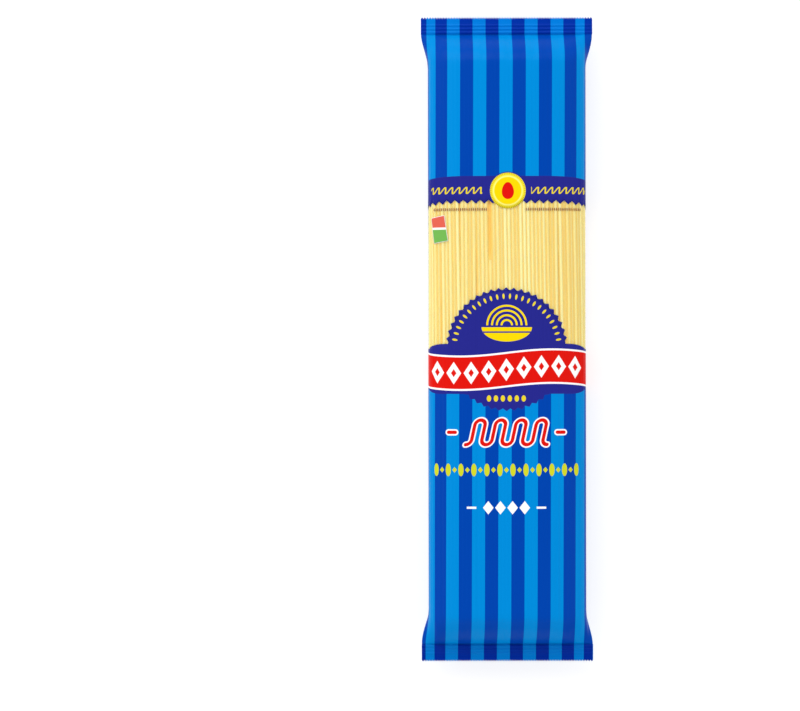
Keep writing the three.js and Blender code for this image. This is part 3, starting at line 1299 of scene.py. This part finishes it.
@dataclass(frozen=True)
class LowerLines:
    """What is printed below the panel: a red noodle, a row of grains and a row of white marks."""

    noodle_x: float = 1.2
    noodle_y: float = -42.9
    noodle_slant: float = -0.22
    noodle_spacing: float = 4.7
    noodle_turns: int = 4
    noodle_straight: float = 3.3
    half_outline: float = 1.45
    half_noodle: float = 0.82
    dash_x: float = 25.2
    dash_reach: float = 1.6
    half_dash: float = 0.8
    grain_y: float = -60.2
    grain_pitch: float = 6.0
    grain_reach: float = 34.6
    grain: Pair = (1.25, 2.9)
    small_grain: Pair = (1.1, 1.3)
    mark_y: float = -77.6
    mark_pitch: float = 5.6
    mark_reach: float = 11.2
    mark: Pair = (2.45, 3.1)
    mark_dash: Pair = (13.9, 18.3)
    half_mark_dash: float = 0.5

    def draw(self, art: Sketch, inks: Inks) -> None:
        """Prints the three lines.

        Args:
            art: The drawing.
            inks: The inks.
        """
        self._noodle(art, inks)
        row = art.past(art.y, self.grain_y)
        stretch = art.band(art.x, -self.grain_reach, self.grain_reach)
        place = art.repeat(art.x, self.grain_pitch, self.grain_pitch / 2)
        tall = art.ellipse(place, row, *self.grain)
        small = art.lozenge(art.repeat(art.x, self.grain_pitch), row, *self.small_grain)
        art.paint(art.both(art.either(tall, small), stretch), inks.lemon)
        row = art.past(art.y, self.mark_y)
        place = art.repeat(art.x, self.mark_pitch, self.mark_pitch / 2)
        stretch = art.band(art.x, -self.mark_reach, self.mark_reach)
        art.paint(art.both(art.lozenge(place, row, *self.mark), stretch), inks.white)
        stretch = art.band(art.work("ABSOLUTE", art.x), *self.mark_dash)
        line = art.band(row, -self.half_mark_dash, self.half_mark_dash)
        art.paint(art.both(stretch, line), inks.white)

    def _noodle(self, art: Sketch, inks: Inks) -> None:
        """Prints the noodle and the dash on each side of it.

        Args:
            art: The drawing.
            inks: The inks.
        """
        y = art.past(art.y, self.noodle_y)
        x = art.work("MULTIPLY_ADD", y, self.noodle_slant, art.past(art.x, self.noodle_x))
        noodle = art.noodle(x, y, self.noodle_spacing, self.noodle_turns, self.noodle_straight)
        far = art.past(art.work("ABSOLUTE", art.x), self.dash_x)
        past = art.past(art.work("ABSOLUTE", far), self.dash_reach)
        dash = art.reach(art.work("MAXIMUM", past, 0.0), y)
        for line, half in ((noodle, self.half_noodle), (dash, self.half_dash)):
            art.paint(art.past(line, self.half_outline), inks.white)
            art.paint(art.past(line, half), inks.red)


@dataclass(frozen=True)
class PrintFinish:
    """The printed film: its motifs under a smooth gloss with faint streaks along the packet."""

    window: WindowForm
    inks: Inks = Inks()
    stripes: Stripes = Stripes()
    band: Band = Band()
    panel: Panel = Panel()
    ribbon: Ribbon = Ribbon()
    lower_lines: LowerLines = LowerLines()
    badge: Badge = Badge()
    roughness: float = 0.3
    roughness_spread: float = 0.12
    gloss: float = 0.03
    streak_length: float = 0.03
    streak_scale: float = 0.9
    streak_detail: float = 4.0
    streak_strength: float = 0.25
    streak_depth: float = 0.1

    def _gloss(self, art: Sketch) -> dict[str, Socket]:
        """Works out the gloss, uneven in faint streaks along the packet.

        Args:
            art: The drawing.

        Returns:
            What goes into the shader's inputs.
        """
        along = art.work("MULTIPLY", art.y, self.streak_length)
        place = art.add("ShaderNodeCombineXYZ", {"X": art.x, "Y": along}).outputs[0]
        streaks = art.noise(place, self.streak_scale, self.streak_detail)
        least = self.roughness - self.roughness_spread / 2
        worn = art.work("MULTIPLY_ADD", streaks, self.roughness_spread, least)
        uneven = art.bump(streaks, self.streak_strength, self.streak_depth)
        return {"Roughness": worn, "Normal": uneven}

    def material(self) -> bpy.types.Material:
        """Builds the material of the printed film.

        Returns:
            The material, which reads places on the film from the map "print".
        """
        material, shader = new_material("printed_film", {"Specular IOR Level": self.gloss})
        art = Sketch(material.node_tree)
        self.stripes.draw(art, self.inks)
        self.band.draw(art, self.inks, self.window)
        self.panel.draw(art, self.inks, self.window)
        self.ribbon.draw(art, self.inks)
        self.lower_lines.draw(art, self.inks)
        self.badge.draw(art, self.inks, self.window)
        art.feed(shader, {"Base Color": art.colour, **self._gloss(art)})
        return material


@dataclass(frozen=True)
class ClearFinish:
    """The bare film over the window."""

    tint: Colour = srgb(255, 250, 236)
    haze: float = 0.03
    roughness: float = 0.2
    gloss: float = 0.3

    def material(self) -> bpy.types.Material:
        """Builds the material of the clear film.

        Returns:
            The material.
        """
        settings = {
            "Base Color": self.tint,
            "Alpha": self.haze,
            "Roughness": self.roughness,
            "Specular IOR Level": self.gloss,
        }
        return new_material("clear_film", settings)[0]


def dress_film(piece: bpy.types.Object) -> None:
    """Says that a piece is part of the film and rides with it.

    Args:
        piece: The piece.
    """
    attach(piece, "root")
    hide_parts("film_pack")


@dataclass
class FilmBag:
    """The film between the two seals, cut into printed film and the clear window.

    A pucker is a wave, given as its rate and its shift in radians. The row counts are those of
    the stretches of the grid from the lower seal to the upper one.
    """

    form: PackForm
    window: WindowForm
    layer: StrandLayer
    print_shift: float = -0.9
    film: float = 0.12
    columns_per_tooth: int = 8
    slack: float = 0.05
    sag: float = 0.13
    dip_limit: float = 1.6
    dip_fade: float = 3.0
    pucker: float = 0.22
    fine_pucker: Pair = (0.83, 0.6)
    broad_pucker: Pair = (0.29, 1.3)
    side_gap: float = 0.2
    join_reach: float = 0.001
    back_columns: int = 26
    panel_foot: float = -24.0
    band_top: float = 78.0
    row_counts: tuple[int, ...] = (14, 40, 12, 22, 6, 20, 14)

    def _columns(self) -> np.ndarray:
        """Lays the columns of the grid round the film, finest over the front and sides.

        Returns:
            Places round the film, from one edge in the middle of the back to the other.
        """
        side = self.form.arc_at_height(self.window.floor_height)
        fine = self.window.tooth_pitch / self.columns_per_tooth
        shift = self.window.tooth_shift + self.print_shift
        steps = math.ceil((side + abs(shift)) / fine)
        front = np.arange(-steps, steps + 1) * fine + shift
        front = front[np.abs(front) < side - self.side_gap]
        back = np.linspace(side, self.form.girth, self.back_columns)
        return np.concatenate([-back[::-1], front, back])

    def _rows(self, columns: np.ndarray) -> tuple[np.ndarray, int, int]:
        """Lays the rows of the grid so that they follow the window's edges.

        Args:
            columns: Places of the columns round the film.

        Returns:
            The y of every grid point, and the rows of the window's lower and upper edge.
        """
        across = columns - self.print_shift
        stops = (
            -self.form.flare_start,
            self.panel_foot,
            self.window.bottom(across),
            self.window.top(across),
            self.band_top,
            self.form.flare_start,
            self.form.seal_start,
        )
        rows = [np.full_like(columns, -self.form.seal_start)]
        ends = []
        for stop, count in zip(stops, self.row_counts):
            before = rows[-1]
            rows += [before + (stop - before) * step / count for step in range(1, count + 1)]
            ends.append(len(rows) - 1)
        return np.array(rows), ends[2], ends[3]

    def _sink(self, arc: np.ndarray, y: np.ndarray) -> np.ndarray:
        """Works out how far the film dips between strands and puckers near the seals.

        Args:
            arc: Places of the grid points round the film.
            y: Places of the grid points along the packet.

        Returns:
            Depths below the plain form.
        """
        places = self.layer.under(arc)
        dip = np.zeros_like(arc)
        for row in range(arc.shape[0]):
            away = self.layer.distance(places[row], y[row, 0])
            dip[row] = np.minimum((away / (self.layer.diameter / 2)) ** 2, self.dip_limit)
        closing = self.form.progress(y, self.form.flare_length)
        (fine, shift), (broad, turn) = self.fine_pucker, self.broad_pucker
        ripple = np.sin(arc * fine + shift) * np.sin(arc * broad + np.sign(y) * turn)
        pucker = ripple * np.sin(math.pi * closing) * self.pucker
        return (self.slack + self.sag * dip) * (1 - smooth(closing * self.dip_fade)) + pucker

    def build(
        self, printed: bpy.types.Material, clear: bpy.types.Material
    ) -> list[bpy.types.Object]:
        """Builds the printed film and the window film.

        Args:
            printed: Material of the printed film.
            clear: Material of the clear film.

        Returns:
            The two pieces.
        """
        columns = self._columns()
        y, bottom, top = self._rows(columns)
        arc = np.broadcast_to(columns, y.shape)
        points = self.form.surface(arc, y)
        points = points - self.form.outwards(arc, y) * self._sink(arc, y)[..., None]
        flat = np.stack([arc - self.print_shift, y], axis=-1).reshape(-1, 2)
        rows, count = y.shape
        middle = (columns[:-1] + columns[1:]) / 2
        side = self.form.arc_at_height(self.window.floor_height)
        in_window = np.zeros((rows - 1, count - 1), bool)
        in_window[bottom:top, np.abs(middle) < side] = True
        quads = grid_faces(rows, count).reshape(rows - 1, count - 1, 4)
        pieces = []
        for name, chosen, material in (
            ("printed_bag", ~in_window, printed),
            ("clear_window", in_window, clear),
        ):
            used, packed = np.unique(quads[chosen], return_inverse=True)
            maps = {"print": flat[used], "OFBake": fit_square(flat)[used]}
            corners = points.reshape(-1, 3)[used]
            piece = make_piece(name, corners, packed.reshape(-1, 4), maps, material)
            self._close_back(piece)
            thick = piece.modifiers.new("film", "SOLIDIFY")
            thick.thickness = self.film * MM
            thick.offset = -1.0
            dress_film(piece)
            pieces.append(piece)
        return pieces

    def _close_back(self, piece: bpy.types.Object) -> None:
        """Joins the two edges of the film that meet in the middle of the back.

        Args:
            piece: The film.
        """
        mesh = bmesh.new()
        mesh.from_mesh(piece.data)
        bmesh.ops.remove_doubles(mesh, verts=mesh.verts, dist=self.join_reach * MM)
        mesh.to_mesh(piece.data)
        mesh.free()


@dataclass
class CrimpedSeal:
    """One flat end of the bag: two layers pressed together in ridges, cut in a zigzag."""

    form: PackForm
    end: End
    print_shift: float
    ridge_pitch: float = 1.65
    ridge_height: float = 0.3
    ridge_count: int = 3
    hatch_height: float = 0.07
    hatch_ease: float = 0.5
    edge_round: float = 0.3
    teeth: int = 64
    tooth_height: float = 0.85
    steps_per_tooth: int = 4
    rows: int = 44

    def _relief(self, x: np.ndarray, away: np.ndarray) -> np.ndarray:
        """Works out the height of the pressed pattern.

        Args:
            x: Places across the seal.
            away: Distances from the start of the seal.

        Returns:
            Heights above the plain seal.
        """
        span = self.ridge_count * self.ridge_pitch
        eased = smooth((away - span) / self.hatch_ease)
        wave = 0.5 - 0.5 * np.cos(2 * math.pi * away / self.ridge_pitch)
        ridges = np.where(away < span, wave, 0.0) * self.ridge_height
        pitch = self.form.seal_width / self.teeth
        hatch = np.cos(2 * math.pi * x / pitch) * np.cos(2 * math.pi * away / pitch)
        return ridges + hatch * eased * self.hatch_height

    def build(self, material: bpy.types.Material) -> bpy.types.Object:
        """Builds the seal as one closed piece.

        Args:
            material: Material of the printed film.

        Returns:
            The new piece.
        """
        half = self.form.seal_width / 2
        count = self.teeth * self.steps_per_tooth + 1
        across = np.linspace(-half, half, count) * self.end.value
        tooth = np.abs((np.arange(count) / self.steps_per_tooth) % 1.0 - 0.5) * 2
        edge = self.form.seal_depth - self.tooth_height * tooth
        away = np.linspace(0.0, 1.0, self.rows)[:, None] * edge[None, :]
        x = np.broadcast_to(across, away.shape)
        y = self.end.value * (self.form.seal_start + away)
        relief = self._relief(x, away)
        sheets, flats = [], []
        for front in (True, False):
            level = self.form.seal_thickness / 2 * (1 if front else -1)
            rounded = np.minimum((half - np.abs(x)) / self.edge_round, 1.0)
            z = self.form.middle + level * rounded + relief
            sheets.append(np.stack([x, y, z], axis=-1).reshape(-1, 3))
            arc = self.form.arc_at_seal(x, front) - self.print_shift
            flats.append(np.stack([arc, y], axis=-1).reshape(-1, 2))
        name = f"{self.end.name.lower()}_seal"
        faces = plate_faces(self.rows, count)
        maps = {"print": np.concatenate(flats)}
        piece = make_piece(name, np.concatenate(sheets), faces, maps, material)
        dress_film(piece)
        return piece


@dataclass
class BackSeam:
    """The seam folded flat along the middle of the back."""

    form: PackForm
    width: float = 12.0
    end_gap: float = 1.0
    ridges: int = 5
    ridge_height: float = 0.08
    edge_round: float = 0.4
    flat_edge: float = 1.5
    overlap: float = 0.02
    rows: int = 160
    columns: int = 41

    def build(self, material: bpy.types.Material) -> bpy.types.Object:
        """Builds the seam as a thin closed strip under the bag.

        Args:
            material: Material of the printed film.

        Returns:
            The new piece.
        """
        reach, half = self.form.length / 2 - self.end_gap, self.width / 2
        along = np.linspace(-reach, reach, self.rows)
        across = np.linspace(-half, half, self.columns)
        y, x = np.meshgrid(along, across, indexing="ij")
        under = self.form.surface(np.full_like(y, self.form.girth), y)[..., 2]
        edge = np.minimum((half - np.abs(x)) / self.edge_round, 1.0)
        inner = half - self.flat_edge
        press = 0.5 - 0.5 * np.cos(math.pi * self.ridges * (x / inner + 1))
        press = np.where(np.abs(x) < inner, press, 0.0) * self.ridge_height
        lower = under - self.form.seam_height * (0.5 + 0.5 * edge) + press
        levels = (under + self.overlap, lower)
        sheets = [np.stack([x, y, z], axis=-1).reshape(-1, 3) for z in levels]
        flat = np.stack([self.form.girth - x, y], axis=-1).reshape(-1, 2)
        maps = {"print": np.concatenate([flat, flat])}
        faces = plate_faces(*x.shape)
        piece = make_piece("back_seam", np.concatenate(sheets), faces, maps, material)
        dress_film(piece)
        return piece


@dataclass
class WindowPrint:
    """What is printed on the clear film: the arch's teeth, a small tag and two rows of marks."""

    form: PackForm
    finish: PrintFinish
    print_shift: float
    ink_top: float = -0.01
    ink_bottom: float = -0.05
    tag_x: float = -31.8
    tag_y: float = 50.7
    tag_width: float = 7.5
    tag_height: float = 12.0
    tag_tilt: float = 9.0
    tag_rows: int = 25
    tag_columns: int = 15
    tag_edge: float = 0.2
    tag_slant: float = 0.16
    red_foot: float = 0.9
    green_top: float = -0.1
    tag_roughness: float = 0.35
    tag_gloss: float = 0.1
    mark_width: float = 0.3
    mark_height: float = 0.75
    mark_sides: int = 8
    mark_pitch: float = 1.0
    mark_y: float = 59.8
    mark_rows: tuple[Pair, ...] = ((-34.9, -8.9), (8.5, 34.8))
    tooth_overlap: float = 0.25
    last_tooth: float = 171.0

    def _tag_material(self) -> bpy.types.Material:
        """Builds the print of the tag: red above, a slanting white edge, green below.

        Returns:
            The material.
        """
        settings = {"Roughness": self.tag_roughness, "Specular IOR Level": self.tag_gloss}
        material, shader = new_material("tag_print", settings)
        inks = self.finish.inks
        art = Sketch(material.node_tree)
        art.colour = inks.white
        half_width = self.tag_width / 2 - self.tag_edge
        half_height = self.tag_height / 2 - self.tag_edge
        wide = art.band(art.x, -half_width, half_width)
        inner = art.both(wide, art.band(art.y, -half_height, half_height))
        level = art.work("MULTIPLY_ADD", art.x, self.tag_slant, art.y)
        art.paint(art.both(inner, art.work("SUBTRACT", self.red_foot, level)), inks.tag_red)
        art.paint(art.both(inner, art.past(level, self.green_top)), inks.tag_green)
        art.feed(shader, {"Base Color": art.colour})
        return material

    def _ink(self, name: str, colour: Colour) -> bpy.types.Material:
        """Builds the material of one plain ink.

        Args:
            name: Name of the material.
            colour: Colour of the ink.

        Returns:
            The material.
        """
        settings = {
            "Base Color": colour,
            "Roughness": self.finish.roughness,
            "Specular IOR Level": self.finish.gloss,
        }
        return new_material(name, settings)[0]

    def _sheets(self, arc: np.ndarray, y: np.ndarray) -> list[np.ndarray]:
        """Places the upper and the lower face of some ink on the film.

        Args:
            arc: Places round the film.
            y: Places along the packet.

        Returns:
            The points of each face.
        """
        outer, out = self.form.surface(arc, y), self.form.outwards(arc, y)
        return [(outer + out * rise).reshape(-1, 3) for rise in (self.ink_top, self.ink_bottom)]

    def _chips(self, name: str, outlines: list, material: bpy.types.Material) -> bpy.types.Object:
        """Builds thin closed chips that lie on the film.

        Args:
            name: Name of the piece.
            outlines: One array for each chip, with rows of the place round the film and y.
            material: The ink.

        Returns:
            The new piece.
        """
        points, faces, first = [], [], 0
        for outline in outlines:
            points += self._sheets(*outline.T)
            count = len(outline)
            ring = list(range(first, first + count))
            faces += [ring, [corner + count for corner in reversed(ring)]]
            for side in range(count):
                here, there = ring[side], ring[(side + 1) % count]
                faces.append([here, here + count, there + count, there])
            first += 2 * count
        return make_piece(name, np.concatenate(points), faces, {}, material)

    def _tag(self) -> bpy.types.Object:
        """Builds the tag, a thin closed plate that follows the film.

        Returns:
            The new piece.
        """
        along = np.linspace(-self.tag_height / 2, self.tag_height / 2, self.tag_rows)
        across = np.linspace(-self.tag_width / 2, self.tag_width / 2, self.tag_columns)
        v, u = np.meshgrid(along, across, indexing="ij")
        tilt = math.radians(self.tag_tilt)
        start = self.form.arc_at_front(self.tag_x)
        arc = start + u * math.cos(tilt) - v * math.sin(tilt)
        y = self.tag_y + u * math.sin(tilt) + v * math.cos(tilt)
        flat = np.stack([u, v], axis=-1).reshape(-1, 2)
        points = np.concatenate(self._sheets(arc, y))
        maps = {"print": np.concatenate([flat, flat])}
        return make_piece("window_tag", points, plate_faces(*u.shape), maps, self._tag_material())

    def _marks(self) -> bpy.types.Object:
        """Builds the two rows of small upright marks below the band.

        Returns:
            The new piece.
        """
        turn = np.arange(self.mark_sides) * 2 * math.pi / self.mark_sides
        across, along = np.cos(turn) * self.mark_width, np.sin(turn) * self.mark_height
        outlines = []
        for low, high in self.mark_rows:
            for place in np.arange(low, high, self.mark_pitch):
                outlines.append(np.stack([place + across, self.mark_y + along], axis=-1))
        return self._chips("window_marks", outlines, self._ink("mark_ink", self.finish.inks.brown))

    def _teeth(self) -> bpy.types.Object:
        """Builds the teeth round the arch, each a thin triangle on the clear film.

        Returns:
            The new piece.
        """
        window, panel = self.finish.window, self.finish.panel
        valley = window.arch_radius - self.tooth_overlap
        tip = window.arch_radius + 2 * panel.rim_height
        half = panel.rim_step / 2
        radius, spread = np.array([valley, tip, valley]), np.array([-half, 0.0, half])
        outlines = []
        for middle in np.arange(panel.rim_start, self.last_tooth, panel.rim_step):
            turn = np.radians(spread + middle)
            arc = radius * np.cos(turn) + window.arch_x + self.print_shift
            y = radius * np.sin(turn) + window.arch_centre
            outlines.append(np.stack([arc, y], axis=-1))
        return self._chips("arch_teeth", outlines, self._ink("navy_ink", self.finish.inks.navy))

    def build(self) -> list[bpy.types.Object]:
        """Builds the tag, the marks and the teeth.

        Returns:
            The three pieces.
        """
        pieces = [self._tag(), self._marks(), self._teeth()]
        for piece in pieces:
            dress_film(piece)
        return pieces


@dataclass(frozen=True)
class Lamp:
    """A square soft light that faces the packet, its sizes in metres and its power in watts."""

    name: str
    place: tuple[float, float, float]
    side: float
    power: float

    def build(self) -> None:
        """Hangs the light."""
        data = bpy.data.lights.new(self.name, "AREA")
        data.size = self.side
        data.energy = self.power
        light = bpy.data.objects.new(self.name, data)
        light.location = self.place
        light.rotation_euler = (-Vector(self.place)).to_track_quat("-Z", "Y").to_euler()
        bpy.context.scene.collection.objects.link(light)


@dataclass(frozen=True)
class Room:
    """The white room all round, dimmer overhead, low down and to the right."""

    overhead: Pair = (0.6, 0.96)
    overhead_glow: Pair = (1.38, 0.4)
    low: Pair = (0.1, 0.45)
    low_glow: Pair = (0.3, 1.0)
    across: Pair = (-0.8, 0.8)
    across_glow: Pair = (1.05, 0.86)

    def build(self) -> None:
        """Lights the world by the height and the side that each direction points to."""
        world = bpy.data.worlds.new("room")
        bpy.context.scene.world = world
        world.use_nodes = True
        wiring = Wiring(world.node_tree)
        place = wiring.add("ShaderNodeTexCoord", {}).outputs["Generated"]
        split = wiring.add("ShaderNodeSeparateXYZ", {0: place})
        glow = 1.0
        for axis, span, results in (
            ("Z", self.overhead, self.overhead_glow),
            ("Z", self.low, self.low_glow),
            ("X", self.across, self.across_glow),
        ):
            ramp = wiring.ramp(split.outputs[axis], span, results)
            ramp.interpolation_type = "SMOOTHSTEP"
            glow = wiring.work("MULTIPLY", ramp.outputs["Result"], glow)
        background = world.node_tree.nodes["Background"]
        wiring.feed(background, {"Color": WHITE, "Strength": glow})


@dataclass(frozen=True)
class Studio:
    """A pale floor, a pale room with two soft lights and a camera that looks straight down."""

    scale: float = 2.148
    centre_pixel: Pair = (507.0, 339.5)
    image_size: tuple[int, int] = (800, 711)
    distance: float = 1200.0
    sensor: float = 36.0
    lean: float = 0.09
    floor_reach: float = 6000.0
    floor_tone: Colour = (0.4, 0.4, 0.4, 1.0)
    floor_roughness: float = 0.9
    floor_glow: float = 0.69
    room: Room = Room()
    key: Lamp = Lamp("key", (-0.5, 1.3, 1.1), 1.6, 14.0)
    fill: Lamp = Lamp("fill", (1.3, -0.4, 0.9), 1.6, 1.5)

    def _camera(self, middle: float) -> None:
        """Puts the camera above the packet, off to its left as the picture frames it.

        Args:
            middle: Height at which the picture's scale holds.
        """
        wide, high = self.image_size
        x = (wide / 2 - self.centre_pixel[0]) / self.scale
        y = (self.centre_pixel[1] - high / 2) / self.scale
        data = bpy.data.cameras.new("camera")
        data.sensor_width = self.sensor
        data.lens = self.sensor * self.distance * self.scale / wide
        camera = bpy.data.objects.new("camera", data)
        camera.location = Vector((x, y, middle + self.distance)) * MM
        camera.rotation_euler = (0.0, 0.0, -math.radians(self.lean))
        bpy.context.scene.collection.objects.link(camera)
        bpy.context.scene.camera = camera

    def _floor(self) -> None:
        """Lays a wide pale floor under the packet, lit a little from within like a light table."""
        settings = {
            "Base Color": self.floor_tone,
            "Roughness": self.floor_roughness,
            "Specular IOR Level": 0.0,
            "Emission Color": WHITE,
            "Emission Strength": self.floor_glow,
        }
        material, _ = new_material("floor", settings)
        half = self.floor_reach
        corners = np.array([[-half, -half, 0], [half, -half, 0], [half, half, 0], [-half, half, 0]])
        floor = make_piece("floor", corners, [(0, 1, 2, 3)], {}, material)

    def build(self, middle: float) -> None:
        """Sets the stage.

        Args:
            middle: Height of the widest part of the packet, where the picture's scale holds.
        """
        self._camera(middle)
        self._floor()
        self.room.build()
        self.key.build()
        self.fill.build()
        settings = bpy.context.scene.view_settings
        settings.view_transform = "Standard"
        settings.look = "None"


def main() -> None:
    """Builds the dressed packet and the stage, and logs how many faces each piece has."""
    logging.basicConfig(level=logging.INFO, format="%(message)s")
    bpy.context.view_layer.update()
    low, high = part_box("film_pack")
    size = (high - low) / MM
    form = PackForm(length=size.y, seal_width=size.x, thickness=size.z)
    window = WindowForm()
    finish = PrintFinish(window)
    bundle = SpaghettiBundle(form)
    pieces = bundle.build(PastaFinish())
    printed = finish.material()
    bag = FilmBag(form, window, bundle.outer)
    pieces += bag.build(printed, ClearFinish().material())
    for end in End:
        pieces.append(CrimpedSeal(form, end, bag.print_shift).build(printed))
    pieces.append(BackSeam(form).build(printed))
    pieces += WindowPrint(form, finish, bag.print_shift).build()
    for piece in pieces:
        log.info("%s: %d faces", piece.name, len(piece.data.polygons))
    Studio().build(form.middle)


if __name__ == "__main__":
    main()
